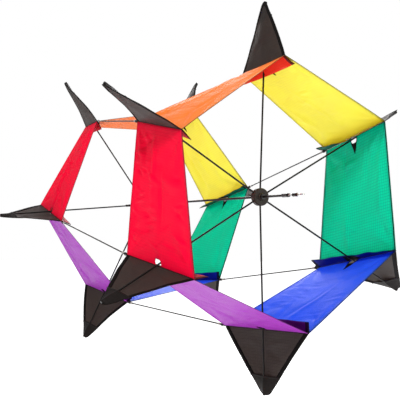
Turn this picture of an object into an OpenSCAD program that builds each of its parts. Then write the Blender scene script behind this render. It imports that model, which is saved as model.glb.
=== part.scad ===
// Spinning star box kite: two six-sided cells of sailcloth on one spine, with
// a pointed winglet at every corner and a swivel at the nose for the line.
// The line would leave along -Y, the wind blows along +Y, and +Z is up.
// The origin is the centre of the tow eye. Corner 1 is the top of the front
// cell, and corners count clockwise as seen from the nose.

/* [Cells] */
// Distance from the spine to the middle of a corner seam
seam_r = 220; // [180:1:260]
// Distance from the spine to the end of a spar
tip_r = 328; // [290:1:380]
// Length of a corner seam
seam_len = 204; // [160:1:230]
// Lean of the corner seams from the spine's direction, in degrees
seam_lean = 11; // [0:0.5:16]
// Turn of the rear cell, clockwise seen from the nose, in degrees
cell_twist = 25; // [0:0.5:30]
// How far the spar tips stand away from the hub, along the spine
spar_sweep = 16; // [6:1:24]

/* [Spine] */
// Distance from the tow eye to the front hub
front_hub_y = 124; // [118:1:150]
// Distance between the two hubs
hub_gap = 505; // [440:1:600]
// Length of bare spine behind the rear hub, to the tail cap's end
tail_len = 124; // [60:1:160]
// Diameter of the spine
spine_d = 4; // [3:0.5:5]

/* [Rods] */
// Diameter of the spars
spar_d = 3; // [2:0.5:3.5]
// Diameter of the longerons
longeron_d = 2.5; // [2:0.5:3]

/* [Sails] */
// Thickness of the sail solids, which stand for thin cloth
sail_t = 0.6; // [0.4:0.1:1]
// Width of the seam flap that stands into the cell
flap_w = 17; // [12:1:30]
// Radius of the rounded end of a winglet
tip_round = 19; // [6:0.5:24]
// Share of the winglet's height where the tip pocket starts
pocket_from = 0.7; // [0.5:0.05:0.8]
// Diameter of the hole that lets a spar out of the cell
spar_hole_d = 10; // [8:0.5:14]
// Length of those holes, along the seam
spar_hole_len = 18; // [14:0.5:26]

/* [Hubs] */
// Diameter of a hub
hub_d = 30; // [26:1:40]
// Thickness of a hub at its rim
hub_t = 11; // [9:0.5:16]

/* [Swivel] */
// Diameter of the swivel's barrel
barrel_d = 6; // [5.5:0.5:8]
// Radius of the tow eye's hole
tow_eye_r = 2.25; // [1.75:0.25:2.25]

/* [Hidden] */
$fn = 48;
rear_hub_y = front_hub_y + hub_gap;
spar_rake = asin(spar_sweep / tip_r);
half_seam = seam_len / 2;
FRONT = 0;
REAR = 1;

// The cloth of a corner lies beside its spar, on the anticlockwise side
cloth_off = 3.2;
// Gap between two pieces that lie on each other
lay_gap = 0.05;
// Distance of a sail's edge from the middle of the seam's cloth
sail_edge = 0.9;
flap_t = 1;
sail_rows = 6;
sail_columns = 8;

// Clearance of a rod in its socket or cap
rod_gap = 0.05;
socket_start = 5.5;
spar_start = 6;
spar_cap_r = 2.2;
spar_cap_len = 12;
spar_cap_end = 2;
pocket_wall = 0.55;
pocket_inset = 0.8;
pocket_end_gap = 1;
cloth_tip_r = tip_r - 2;

longeron_gap = 3.5;
longeron_cap_start = 1.5;
longeron_cap_len = 10;
longeron_cap_r = 2;
collar_len = 8;
collar_r = 1.9;
loop_start = 5;
loop_len = 4;
loop_t = 0.6;
loop_tab_in = 8;
loop_tab_w = 7;
loop_tab_len = 9;

hole_reach = 15;
patch_start = 1.5;
patch_len = 28.5;
patch_half = 13;
patch_t = 0.4;
patch_gap = 0.3;
patch_end = 0.06;

spine_front_y = 41;
spine_rear_y = rear_hub_y + tail_len - 4;
tail_cap_len = 24;
tail_cap_r = 2.9;
stop_r = 4.4;
stop_t = 4;
boss_r = 6.5;
boss_t = 2;

ferrule_r = 3.2;
ferrule_len = 15;
ferrule_front_y = 39.5;
tab_hole_r = 1.6;
tab_t = 2;
tab_wall = 1.2;
link_wire_r = 0.7;
link_ring_r = 2.9;
link_y = 36.4;

shank_r = 0.8;
shank_gap = 0.08;
barrel_front_y = 12;
barrel_rear_y = 27;
barrel_wall = 1.2;
barrel_end_r = 1.9;
barrel_taper = 2.6;
head_r = 1.7;
head_t = 1.6;
head_gap = 0.4;
eye_rim = 1.4;
eye_t = 1.8;
eye_land = 1.2;

// ---- Where things are ----

// Direction of a corner round the spine: 0 is +X and 90 is up
function corner_angle(cell, corner) = 90 - 60 * (corner - 1) - (cell == REAR ? cell_twist : 0);
function hub_y(cell) = cell == FRONT ? front_hub_y : rear_hub_y;
function rake(cell) = cell == FRONT ? -spar_rake : spar_rake;

// The three directions of a corner: out along the spar, along the seam, and
// square to both, anticlockwise round the spine as seen from the nose
function outward(cell, corner) =
    let (a = corner_angle(cell, corner), b = rake(cell))
    [cos(b) * cos(a), sin(b), cos(b) * sin(a)];
function along(cell, corner) =
    let (a = corner_angle(cell, corner), b = rake(cell))
    cos(seam_lean) * [-sin(b) * cos(a), cos(b), -sin(b) * sin(a)]
    + sin(seam_lean) * [sin(a), 0, -cos(a)];
function aside(cell, corner) = cross(outward(cell, corner), along(cell, corner));

// A point by its distances along those three directions from the hub
function corner_point(cell, corner, out, seam, side) =
    [0, hub_y(cell), 0]
    + out * outward(cell, corner)
    + seam * along(cell, corner)
    + side * aside(cell, corner);

// Draws its children in a corner's own frame: X out, Y along the seam
module at_corner(cell, corner) {
    translate([0, hub_y(cell), 0])
        rotate([0, -corner_angle(cell, corner), 0])
            rotate([0, 0, rake(cell)])
                rotate([-seam_lean, 0, 0])
                    children();
}

// Draws its children with Z running from a to b
module toward(a, b) {
    d = b - a;
    translate(a)
        rotate([0, acos(d.z / norm(d)), atan2(d.y, d.x)])
            children();
}

// ---- Shapes that repeat ----

// A tube, or a blind cap if its floor is above 0
module tube(outer, inner, length, floor = 0) {
    difference() {
        cylinder(r = outer, h = length);
        translate([0, 0, floor > 0 ? floor : -1])
            cylinder(r = inner, h = length + 2);
    }
}

// A closed skin between two grids of points, each row by row
module skin(top, bottom, rows, columns) {
    n = (rows + 1) * (columns + 1);
    w = columns + 1;
    sheet = [for (r = [0:rows - 1], c = [0:columns - 1])
        [r * w + c, r * w + c + 1, (r + 1) * w + c + 1, (r + 1) * w + c]];
    halves = [for (f = sheet) each [[f[0], f[1], f[2]], [f[0], f[2], f[3]]]];
    under = [for (f = halves) [f[2] + n, f[1] + n, f[0] + n]];
    ring = concat(
        [for (c = [0:columns - 1]) c],
        [for (r = [0:rows - 1]) r * w + columns],
        [for (c = [columns:-1:1]) rows * w + c],
        [for (r = [rows:-1:1]) r * w]
    );
    m = len(ring);
    wall = [for (k = [0:m - 1]) let (a = ring[k], b = ring[(k + 1) % m])
        each [[b, a, a + n], [b, a + n, b + n]]];
    polyhedron(concat(top, bottom), concat(halves, under, wall));
}

// ---- Rods ----

module spine() {
    color("#2a2624")
        translate([0, spine_front_y, 0])
            rotate([-90, 0, 0])
                cylinder(d = spine_d, h = spine_rear_y - spine_front_y);
}

module spar(cell, corner) {
    color("#2a2624")
        at_corner(cell, corner)
            translate([spar_start, 0, 0])
                rotate([0, 90, 0])
                    cylinder(d = spar_d, h = tip_r - spar_cap_end - spar_start);
}

module spar_end_caps() {
    color("#171514")
        for (cell = [FRONT, REAR], corner = [1:6])
            at_corner(cell, corner)
                translate([tip_r, 0, 0])
                    rotate([0, -90, 0])
                        tube(spar_cap_r, spar_d / 2 + rod_gap, spar_cap_len, spar_cap_end - lay_gap);
}

// Ends of a longeron: the front seam's rear end and the rear seam's front end
function longeron_front(corner) = corner_point(FRONT, corner, seam_r, half_seam, cloth_off);
function longeron_rear(corner) = corner_point(REAR, corner, seam_r, -half_seam, cloth_off);
function longeron_span(corner) = norm(longeron_rear(corner) - longeron_front(corner));

module longeron(corner) {
    color("#2f2b28")
        toward(longeron_front(corner), longeron_rear(corner))
            translate([0, 0, longeron_gap])
                cylinder(d = longeron_d, h = longeron_span(corner) - 2 * longeron_gap);
}

// Draws its children at both ends of every longeron, with Z running inwards
module at_longeron_ends() {
    for (corner = [1:6]) {
        toward(longeron_front(corner), longeron_rear(corner)) children();
        toward(longeron_rear(corner), longeron_front(corner)) children();
    }
}

module longeron_end_caps() {
    color("#0f0e0e")
        at_longeron_ends()
            translate([0, 0, longeron_cap_start])
                tube(longeron_cap_r, longeron_d / 2 + rod_gap, longeron_cap_len,
                    longeron_gap - longeron_cap_start - lay_gap);
}

module longeron_collars() {
    color("#8a8886")
        at_longeron_ends()
            translate([0, 0, longeron_cap_start + longeron_cap_len + lay_gap])
                tube(collar_r, longeron_d / 2 + rod_gap, collar_len);
}

// A tape sewn to the corner of the cell, and its loop round a longeron's cap
module corner_loop(cell, corner) {
    start = cell == FRONT ? longeron_front(corner) : longeron_rear(corner);
    far = cell == FRONT ? longeron_rear(corner) : longeron_front(corner);
    inner = longeron_cap_r + rod_gap;
    clear = half_seam + lay_gap;
    tab_y = cell == FRONT ? clear : -clear - loop_tab_len;
    difference() {
        union() {
            toward(start, far)
                translate([0, 0, loop_start])
                    cylinder(r = inner + loop_t, h = loop_len);
            at_corner(cell, corner)
                translate([seam_r - loop_tab_in, tab_y, cloth_off - loop_t / 2])
                    cube([loop_tab_w, loop_tab_len, loop_t]);
        }
        toward(start, far)
            translate([0, 0, -loop_start])
                cylinder(r = inner, h = 2 * loop_start + 2 * loop_tab_len);
    }
}

module corner_loops() {
    color("#1c1a1a")
        for (cell = [FRONT, REAR], corner = [1:6])
            corner_loop(cell, corner);
}

// ---- Spine fittings ----

module hub(cell) {
    half = hub_t / 2;
    color("#2b2724")
        difference() {
            translate([0, hub_y(cell), 0])
                rotate([-90, 0, 0])
                    rotate_extrude()
                        polygon([
                            [spine_d / 2 + rod_gap, -half - boss_t],
                            [boss_r - 1, -half - boss_t],
                            [boss_r, -half - boss_t + 1],
                            [boss_r, -half],
                            [hub_d / 2 - 1.5, -half],
                            [hub_d / 2, -half + 1.5],
                            [hub_d / 2, half - 1.5],
                            [hub_d / 2 - 1.5, half],
                            [boss_r, half],
                            [boss_r, half + boss_t - 1],
                            [boss_r - 1, half + boss_t],
                            [spine_d / 2 + rod_gap, half + boss_t]
                        ]);
            for (corner = [1:6])
                at_corner(cell, corner)
                    translate([socket_start, 0, 0])
                        rotate([0, 90, 0])
                            cylinder(d = spar_d + 2 * rod_gap, h = hub_d);
        }
}

module hub_stops() {
    reach = hub_t / 2 + boss_t + lay_gap;
    color("#141313")
        for (y = [front_hub_y, rear_hub_y], side = [-1, 1])
            translate([0, y + side * reach + (side < 0 ? -stop_t : 0), 0])
                rotate([-90, 0, 0])
                    tube(stop_r, spine_d / 2 + rod_gap, stop_t);
}

module nose_ferrule() {
    tab_half = tab_hole_r + tab_wall;
    color("#1d1b1b")
        difference() {
            union() {
                translate([0, ferrule_front_y, 0])
                    rotate([-90, 0, 0])
                        cylinder(r = ferrule_r, h = ferrule_len);
                translate([0, link_y, 0])
                    rotate([0, 90, 0])
                        cylinder(r = tab_half, h = tab_t, center = true);
                translate([-tab_t / 2, link_y, -tab_half])
                    cube([tab_t, ferrule_front_y - link_y + 0.5, 2 * tab_half]);
            }
            translate([0, link_y, 0])
                rotate([0, 90, 0])
                    cylinder(r = tab_hole_r, h = 2 * tab_t, center = true);
            translate([0, spine_front_y - lay_gap, 0])
                rotate([-90, 0, 0])
                    cylinder(r = spine_d / 2 + rod_gap, h = ferrule_len);
        }
}

module tail_cap() {
    round_r = 2;
    end_y = rear_hub_y + tail_len;
    color("#131212")
        translate([0, end_y, 0])
            rotate([90, 0, 0])
                difference() {
                    rotate_extrude()
                        union() {
                            translate([0, round_r])
                                square([tail_cap_r, tail_cap_len - round_r]);
                            square([tail_cap_r - round_r, round_r + 1]);
                            translate([tail_cap_r - round_r, round_r])
                                intersection() {
                                    circle(r = round_r);
                                    translate([0, -round_r])
                                        square(round_r);
                                }
                        }
                    translate([0, 0, end_y - spine_rear_y - lay_gap])
                        cylinder(r = spine_d / 2 + rod_gap, h = tail_cap_len);
                }
}

// ---- Sails ----

// A point of a panel: u runs round the cell from corner to the next, s along
// the seams, and lift is the height over the panel's middle surface
function panel_point(cell, corner, u, s, lift) =
    let (
        a = corner_point(cell, corner, seam_r, s, cloth_off - sail_edge),
        b = corner_point(cell, corner + 1, seam_r, s, cloth_off + sail_edge),
        middle = corner_angle(cell, corner) - 30
    )
    a + u * (b - a) + lift * [cos(middle), 0, sin(middle)];

module spar_hole(cell, corner) {
    shift = (spar_hole_len - spar_hole_d) / 2;
    at_corner(cell, corner)
        translate([seam_r - hole_reach, 0, cloth_off - spar_hole_d / 2]) {
            for (side = [-1, 1])
                translate([0, side * shift, 0])
                    rotate([0, 90, 0])
                        cylinder(d = spar_hole_d, h = 2 * hole_reach);
            translate([0, -shift, -spar_hole_d / 2])
                cube([2 * hole_reach, 2 * shift, spar_hole_d]);
        }
}

module panel(cell, corner, paint) {
    grid = [for (r = [0:sail_rows], c = [0:sail_columns])
        [c / sail_columns, half_seam * (2 * r / sail_rows - 1)]];
    color(paint)
        difference() {
            skin(
                [for (p = grid) panel_point(cell, corner, p[0], p[1], sail_t / 2)],
                [for (p = grid) panel_point(cell, corner, p[0], p[1], -sail_t / 2)],
                sail_rows, sail_columns
            );
            spar_hole(cell, corner);
        }
}

// A three-cornered patch beside each spar hole, on the inner face of the panel
module hole_patch(cell, corner) {
    rows = 4;
    columns = 5;
    low = sail_t / 2 + patch_gap;
    grid = [for (r = [0:rows], c = [0:columns])
        let (q = c / columns, half = patch_half * (1 - (1 - patch_end) * q))
        [(patch_start + q * patch_len) / seam_r, half * (2 * r / rows - 1)]];
    difference() {
        skin(
            [for (p = grid) panel_point(cell, corner, p[0], p[1], -low)],
            [for (p = grid) panel_point(cell, corner, p[0], p[1], -low - patch_t)],
            rows, columns
        );
        spar_hole(cell, corner);
    }
}

module spar_hole_patches() {
    color("#1b1918")
        for (cell = [FRONT, REAR], corner = [1:6])
            hole_patch(cell, corner);
}

// Slope of a winglet's edge, from the seam's end to the rounded tip
function edge_slope() =
    let (run = cloth_tip_r - tip_round - seam_r)
    asin(tip_round / norm([run, half_seam])) - atan2(half_seam, run);
function edge_half_width(out) = half_seam + (out - seam_r) * tan(edge_slope());

// The rounded end of a winglet, from one edge to the other
function tip_arc(inset = 0, steps = 12) =
    let (reach = edge_slope() + 90, r = tip_round - inset)
    [for (k = [0:steps]) let (a = reach * (1 - 2 * k / steps))
        [cloth_tip_r - tip_round + r * cos(a), r * sin(a)]];

module winglet(cell, corner) {
    color("#3c3634")
        at_corner(cell, corner)
            translate([0, 0, cloth_off - sail_t / 2])
                linear_extrude(sail_t)
                    polygon(concat([[seam_r, -half_seam], [seam_r, half_seam]], tip_arc()));
}

// The second layer of a winglet's tip, and the spar's end inside it
module tip_pocket(cell, corner) {
    start = seam_r + pocket_from * (cloth_tip_r - seam_r);
    reach = cloth_tip_r - start;
    wide = edge_half_width(start) - pocket_inset;
    top = cloth_off - sail_t / 2 - lay_gap;
    at_corner(cell, corner)
        difference() {
            hull() {
                translate([0, 0, top - pocket_wall])
                    linear_extrude(pocket_wall)
                        polygon(concat([[start, -wide], [start, wide]], tip_arc(pocket_inset)));
                translate([start, 0, 0])
                    rotate([0, 90, 0])
                        cylinder(r = spar_cap_r + pocket_wall, h = reach - pocket_end_gap, $fn = 32);
            }
            translate([start - 1, 0, 0])
                rotate([0, 90, 0])
                    cylinder(r = spar_cap_r + lay_gap, h = reach + 4);
        }
}

module tip_pockets(cell) {
    color("#262221")
        for (corner = [1:6])
            tip_pocket(cell, corner);
}

module seam_flaps(cell) {
    outer = seam_r - 0.1;
    color("#2c2625")
        for (corner = [1:6])
            at_corner(cell, corner)
                translate([seam_r - flap_w, -half_seam, cloth_off - flap_t / 2])
                    cube([outer - seam_r + flap_w, 2 * half_seam, flap_t]);
}

// ---- Swivel ----

// A shank along Y with its head inside the barrel
module swivel_shank(from_y, to_y, head_y) {
    translate([0, from_y, 0])
        rotate([-90, 0, 0])
            cylinder(r = shank_r, h = to_y - from_y);
    translate([0, head_y, 0])
        rotate([-90, 0, 0])
            cylinder(r = head_r, h = head_t);
}

module swivel_link_eye() {
    ring_y = link_y - link_ring_r;
    head_y = barrel_rear_y - barrel_wall - head_gap - head_t;
    color("#8f8c88")
        union() {
            translate([0, ring_y, 0])
                rotate_extrude()
                    translate([link_ring_r, 0])
                        circle(r = link_wire_r);
            swivel_shank(head_y, ring_y - link_ring_r, head_y);
        }
}

module swivel_barrel() {
    length = barrel_rear_y - barrel_front_y;
    outer = barrel_d / 2;
    bore = shank_r + shank_gap;
    cavity = head_r + head_gap;
    color("#1a1918")
        translate([0, barrel_front_y, 0])
            rotate([-90, 0, 0])
                rotate_extrude()
                    polygon([
                        [bore, 0],
                        [barrel_end_r, 0],
                        [outer, barrel_taper],
                        [outer, length - barrel_taper],
                        [barrel_end_r, length],
                        [bore, length],
                        [bore, length - barrel_wall],
                        [cavity, length - barrel_wall],
                        [cavity, barrel_wall],
                        [bore, barrel_wall]
                    ]);
}

module swivel_line_eye() {
    outer = tow_eye_r + eye_rim;
    head_y = barrel_front_y + barrel_wall + head_gap;
    bevel = (eye_t - eye_land) / 2;
    color("#a5a29d")
        union() {
            rotate_extrude()
                polygon([
                    [tow_eye_r, -eye_land / 2],
                    [tow_eye_r + bevel, -eye_t / 2],
                    [outer - bevel, -eye_t / 2],
                    [outer, -eye_land / 2],
                    [outer, eye_land / 2],
                    [outer - bevel, eye_t / 2],
                    [tow_eye_r + bevel, eye_t / 2],
                    [tow_eye_r, eye_land / 2]
                ]);
            swivel_shank(tow_eye_r + eye_rim / 2, head_y + head_t, head_y);
        }
}

// ---- One line for each node ----

spine();
nose_ferrule();
tail_cap();
hub(FRONT);  // front_hub
hub(REAR);  // rear_hub
hub_stops();
spar(FRONT, 1);  // front_spar_1
spar(FRONT, 2);  // front_spar_2
spar(FRONT, 3);  // front_spar_3
spar(FRONT, 4);  // front_spar_4
spar(FRONT, 5);  // front_spar_5
spar(FRONT, 6);  // front_spar_6
spar(REAR, 1);  // rear_spar_1
spar(REAR, 2);  // rear_spar_2
spar(REAR, 3);  // rear_spar_3
spar(REAR, 4);  // rear_spar_4
spar(REAR, 5);  // rear_spar_5
spar(REAR, 6);  // rear_spar_6
spar_end_caps();
longeron(1);  // longeron_1
longeron(2);  // longeron_2
longeron(3);  // longeron_3
longeron(4);  // longeron_4
longeron(5);  // longeron_5
longeron(6);  // longeron_6
longeron_end_caps();
longeron_collars();
corner_loops();
panel(FRONT, 1, "#ffe81c");  // front_panel_yellow
panel(FRONT, 2, "#00a878");  // front_panel_green
panel(FRONT, 3, "#1f4fe6");  // front_panel_blue
panel(FRONT, 4, "#a832c0");  // front_panel_purple
panel(FRONT, 5, "#f5103c");  // front_panel_red
panel(FRONT, 6, "#ff6a1f");  // front_panel_orange
panel(REAR, 1, "#ffe81c");  // rear_panel_yellow
panel(REAR, 2, "#00a878");  // rear_panel_green
panel(REAR, 3, "#1f4fe6");  // rear_panel_blue
panel(REAR, 4, "#a832c0");  // rear_panel_purple
panel(REAR, 5, "#f5103c");  // rear_panel_red
panel(REAR, 6, "#ff6a1f");  // rear_panel_orange
winglet(FRONT, 1);  // front_winglet_1
winglet(FRONT, 2);  // front_winglet_2
winglet(FRONT, 3);  // front_winglet_3
winglet(FRONT, 4);  // front_winglet_4
winglet(FRONT, 5);  // front_winglet_5
winglet(FRONT, 6);  // front_winglet_6
winglet(REAR, 1);  // rear_winglet_1
winglet(REAR, 2);  // rear_winglet_2
winglet(REAR, 3);  // rear_winglet_3
winglet(REAR, 4);  // rear_winglet_4
winglet(REAR, 5);  // rear_winglet_5
winglet(REAR, 6);  // rear_winglet_6
tip_pockets(FRONT);  // front_tip_pockets
tip_pockets(REAR);  // rear_tip_pockets
seam_flaps(FRONT);  // front_seam_flaps
seam_flaps(REAR);  // rear_seam_flaps
spar_hole_patches();
swivel_link_eye();
swivel_barrel();
swivel_line_eye();
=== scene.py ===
"""Looks for the spinning star box kite: sails, winglets, trim and materials
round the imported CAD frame. Metres, +Y from nose to tail, +Z up."""

import math
import random

import bpy
from mathutils import Matrix, Vector, noise
from mathutils.geometry import delaunay_2d_cdt


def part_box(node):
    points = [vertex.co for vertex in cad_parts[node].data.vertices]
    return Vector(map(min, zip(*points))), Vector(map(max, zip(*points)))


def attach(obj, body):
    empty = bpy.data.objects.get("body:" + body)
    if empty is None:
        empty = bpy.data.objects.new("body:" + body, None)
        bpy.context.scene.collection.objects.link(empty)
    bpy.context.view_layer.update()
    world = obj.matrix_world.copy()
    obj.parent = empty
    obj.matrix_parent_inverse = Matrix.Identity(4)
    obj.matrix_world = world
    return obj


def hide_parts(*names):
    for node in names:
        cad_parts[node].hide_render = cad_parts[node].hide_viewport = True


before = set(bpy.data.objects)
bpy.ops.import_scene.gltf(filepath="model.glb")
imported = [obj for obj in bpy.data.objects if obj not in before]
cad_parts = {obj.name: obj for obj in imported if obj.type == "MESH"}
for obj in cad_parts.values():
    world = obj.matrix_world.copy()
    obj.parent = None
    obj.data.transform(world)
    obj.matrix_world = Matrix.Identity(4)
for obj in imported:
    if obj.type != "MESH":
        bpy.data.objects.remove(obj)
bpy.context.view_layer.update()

# ---- The kite's driving sizes, as the part's source has them ----

CELLS = ("front", "rear")
CORNERS = range(1, 7)
COLOURS = ("yellow", "green", "blue", "purple", "red", "orange")
SEAM_R = 0.220
TIP_R = 0.328
HALF_SEAM = 0.102
SEAM_LEAN = math.radians(11)
CELL_TWIST = math.radians(25)
SPAR_RAKE = math.asin(0.016 / TIP_R)
CLOTH_OFF = 0.0032
SAIL_EDGE = 0.0009
SPAR_HOLE_R = 0.005
SPAR_HOLE_LEN = 0.018
TIP_ROUND = 0.019
POCKET_FROM = 0.7
CAP_R = 0.0022
FLAP_W = 0.0185  # a little more than the source's 17 mm, because a real flap curls
HUB_Y = {cell: sum(v[1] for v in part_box(f"{cell}_hub")) / 2 for cell in CELLS}
SPINE = Vector((0, 1, 0))
SAIL_W = SEAM_R
WING_H = TIP_R - SEAM_R

# How thick the cloth is, and how far apart the points of each kind of sheet are.
CLOTH_T = 0.0002
HEAVY_CLOTH_T = 0.0003
SPACING = 0.0042
SAIL_SPACING = 0.0029
PATCH_SPACING = 0.0020
POCKET_SPACING = 0.0024
FLAP_SPACING = 0.0034

RIPSTOP_PITCH = 0.005
RIPSTOP_LINE = 0.0005


def srgb(red, green, blue):
    """A linear colour from the 0 to 255 values that a screen shows."""
    def lin(c):
        c /= 255
        return c / 12.92 if c <= 0.04045 else ((c + 0.055) / 1.055) ** 2.4
    return (lin(red), lin(green), lin(blue), 1)


def deeper(colour, share):
    """The colour with this share of its light."""
    return tuple(c * share for c in colour[:3]) + (1,)


def brighter(colour, share):
    """The colour with more light, up to the most that a screen shows."""
    return tuple(min(1, c * share) for c in colour[:3]) + (1,)


# ---- Where things are ----

def corner_axes(cell, corner):
    """Out along the spar, along the seam, and square to both (anticlockwise)."""
    turn = math.radians(90 - 60 * (corner - 1)) - (CELL_TWIST if cell == "rear" else 0)
    rake = SPAR_RAKE if cell == "rear" else -SPAR_RAKE
    radial = Vector((math.cos(turn), 0, math.sin(turn)))
    clockwise = Vector((math.sin(turn), 0, -math.cos(turn)))
    out = radial * math.cos(rake) + SPINE * math.sin(rake)
    level = SPINE * math.cos(rake) - radial * math.sin(rake)
    along = level * math.cos(SEAM_LEAN) + clockwise * math.sin(SEAM_LEAN)
    return out, along, out.cross(along)


def corner_point(cell, corner, out, seam, side):
    """The point this far out from the spine, along the seam and beside it."""
    x, y, z = corner_axes(cell, corner)
    return Vector((0, HUB_Y[cell], 0)) + x * out + y * seam + z * side


def smooth(x, low, high):
    """0 below low, 1 above high, smooth between."""
    t = min(1, max(0, (x - low) / (high - low)))
    return t * t * (3 - 2 * t)


# ---- Mesh helpers ----

def new_object(name, verts, faces, material, smooth_shade=True):
    """A mesh object in the scene, with one material."""
    mesh = bpy.data.meshes.new(name)
    mesh.from_pydata([tuple(v) for v in verts], [], faces)
    mesh.validate()
    mesh.update()
    if smooth_shade:
        mesh.shade_smooth()
    obj = bpy.data.objects.new(name, mesh)
    bpy.context.scene.collection.objects.link(obj)
    obj.data.materials.append(material)
    return obj


def inside(point, outline):
    """Whether a flat point lies within a closed outline."""
    x, y = point
    hit = False
    for (x1, y1), (x2, y2) in zip(outline, outline[1:] + outline[:1]):
        if (y1 > y) != (y2 > y) and x < (x2 - x1) * (y - y1) / (y2 - y1) + x1:
            hit = not hit
    return hit


def edge_distance(point, outline):
    """How far a flat point is from the nearest side of an outline."""
    p = Vector(point)
    best = 1e9
    for a, b in zip(outline, outline[1:] + outline[:1]):
        a, b = Vector(a), Vector(b)
        run = b - a
        t = max(0, min(1, (p - a).dot(run) / max(run.length_squared, 1e-12)))
        best = min(best, (p - a - run * t).length)
    return best


def flat_area(outline):
    """The area within an outline."""
    pairs = zip(outline, outline[1:] + outline[:1])
    return abs(sum(x1 * y2 - x2 * y1 for (x1, y1), (x2, y2) in pairs)) / 2


def along_outline(outline, step):
    """The outline's points with more between them, a step apart at most."""
    points = []
    for a, b in zip(outline, outline[1:] + outline[:1]):
        a, b = Vector(a), Vector(b)
        n = max(1, math.ceil((b - a).length / step))
        points += [tuple(a + (b - a) * k / n) for k in range(n)]
    return points


EDGE_CLEAR = 0.45  # how near a lattice point may come to the outline, in steps


def cut_cloth(outline, step):
    """Triangles that fill a flat outline, on a lattice of rows half a step off."""
    edge = along_outline(outline, step)
    low_x, high_x = min(p[0] for p in edge), max(p[0] for p in edge)
    low_y, high_y = min(p[1] for p in edge), max(p[1] for p in edge)
    row_h = step * math.sqrt(0.75)
    points = list(edge)
    for r in range(1, int((high_y - low_y) / row_h) + 1):
        y = low_y + r * row_h
        x = low_x + step * (0.5 if r % 2 else 1.0)
        while x < high_x:
            if inside((x, y), edge) and edge_distance((x, y), edge) > EDGE_CLEAR * step:
                points.append((x, y))
            x += step
    n = len(edge)
    ring = [(k, (k + 1) % n) for k in range(n)]
    verts, _, faces, _, _, _ = delaunay_2d_cdt([Vector(p) for p in points], ring, [], 1, 1e-7)
    return [tuple(v) for v in verts], [tuple(f) for f in faces]


CUTS = {}  # the flat cuts made so far, by outline and step


def sheet_object(name, outline, surface, material, thickness=CLOTH_T, step=SPACING):
    """A sheet of cloth: the flat outline, cut and laid on surface(a, b)."""
    key = (tuple(outline), step)
    if key not in CUTS:
        CUTS[key] = cut_cloth(outline, step)
    flat, faces = CUTS[key]
    obj = new_object(name, [surface(a, b) for a, b in flat], faces, material)
    cloth_uv(obj, flat)
    thick = obj.modifiers.new("thickness", "SOLIDIFY")
    thick.thickness = thickness
    thick.offset = 0
    return obj


def cloth_uv(obj, flat):
    """The cloth's own coordinates, in metres, as a UV map for the weave."""
    layer = obj.data.uv_layers.new(name="cloth")
    for loop in obj.data.loops:
        layer.data[loop.index].uv = flat[loop.vertex_index]


def normal_of(surface, a, b, step=0.0008):
    """The direction square to a surface at (a, b)."""
    across = surface(a + step, b) - surface(a - step, b)
    along = surface(a, b + step) - surface(a, b - step)
    return across.cross(along).normalized()


def lifted(surface, a, b, lift):
    """The surface's point at (a, b), moved off it by lift."""
    return surface(a, b) + normal_of(surface, a, b) * lift


# A folded tape's section, in shares of its width and of its thickness.
HEM_FOLD = 0.24
HEM_CREST = 0.6
HEM_PUFF = 1.15
HEM_OVERHANG = 0.05
FOLD_SEEN = {"green": 0.62}


def band_object(name, strips, surface, material, edge_material, thick, fold=HEM_FOLD):
    """Folded tapes sewn on a surface, with a dark fold along the edge. A strip is a list
    of pairs of points, one on the cloth's edge and one at the tape's inner edge."""
    verts, faces, flat, dark = [], [], [], []
    half = thick / 2
    crest = half * HEM_PUFF
    section = ((1, half), (HEM_CREST, crest), (fold, half), (-HEM_OVERHANG, 0),
               (fold, -half), (HEM_CREST, -crest), (1, -half))
    ring = len(section)
    for strip in strips:
        base = len(verts)
        for (ea, eb), (ia, ib) in strip:
            for q, lift in section:
                a, b = ea + (ia - ea) * q, eb + (ib - eb) * q
                verts.append(lifted(surface, a, b, lift))
                flat.append((a, b))
        n = len(strip)
        for r in range(n - 1):
            for c in range(ring):
                p, q = base + r * ring + c, base + r * ring + (c + 1) % ring
                faces.append((p, q, q + ring, p + ring))
                dark.append(c in (2, 3))
        faces.append(tuple(base + c for c in range(ring - 1, -1, -1)))
        faces.append(tuple(base + (n - 1) * ring + c for c in range(ring)))
        dark += [False, False]
    obj = new_object(name, verts, faces, material)
    obj.data.materials.append(edge_material)
    for face, is_dark in zip(obj.data.polygons, dark):
        face.material_index = int(is_dark)
    cloth_uv(obj, flat)
    return obj


STITCH_PITCH = 0.0030
STITCH_LEN = 0.0021
THREAD_R = 0.00022
SEWN_AT = 0.8  # where a hem is sewn, as a share of its width from the edge


def stitches_object(name, rows, surface, material, lifts):
    """Short raised threads along each row of points, on both faces of the cloth."""
    verts, faces = [], []
    for row in rows:
        points = [Vector(p) for p in row]
        carried = 0.0
        for a, b in zip(points, points[1:]):
            run = (b - a).length
            heading = (b - a).normalized()
            at = STITCH_PITCH - carried
            while at < run:
                mid = a + heading * at
                for lift in lifts:
                    add_stitch(verts, faces, surface, mid, heading, lift)
                at += STITCH_PITCH
            carried = run - (at - STITCH_PITCH)
    return new_object(name, verts, faces, material)


def add_stitch(verts, faces, surface, mid, heading, lift):
    """One thread, pointed at both ends, that lies along heading."""
    ends = [mid - heading * STITCH_LEN / 2, mid + heading * STITCH_LEN / 2]
    start = surface(ends[0].x, ends[0].y)
    end = surface(ends[1].x, ends[1].y)
    up = normal_of(surface, mid.x, mid.y) * (1 if lift > 0 else -1)
    side = (end - start).normalized().cross(up)
    centre = surface(mid.x, mid.y) + up * abs(lift)
    half = (end - start) / 2
    base = len(verts)
    verts += [centre - half - up * THREAD_R, centre + half - up * THREAD_R,
              centre + side * THREAD_R, centre - side * THREAD_R,
              centre + up * THREAD_R, centre - up * THREAD_R]
    for ring in ((2, 4), (4, 3), (3, 5), (5, 2)):
        faces.append((base, base + ring[0], base + ring[1]))
        faces.append((base + 1, base + ring[1], base + ring[0]))


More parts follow.
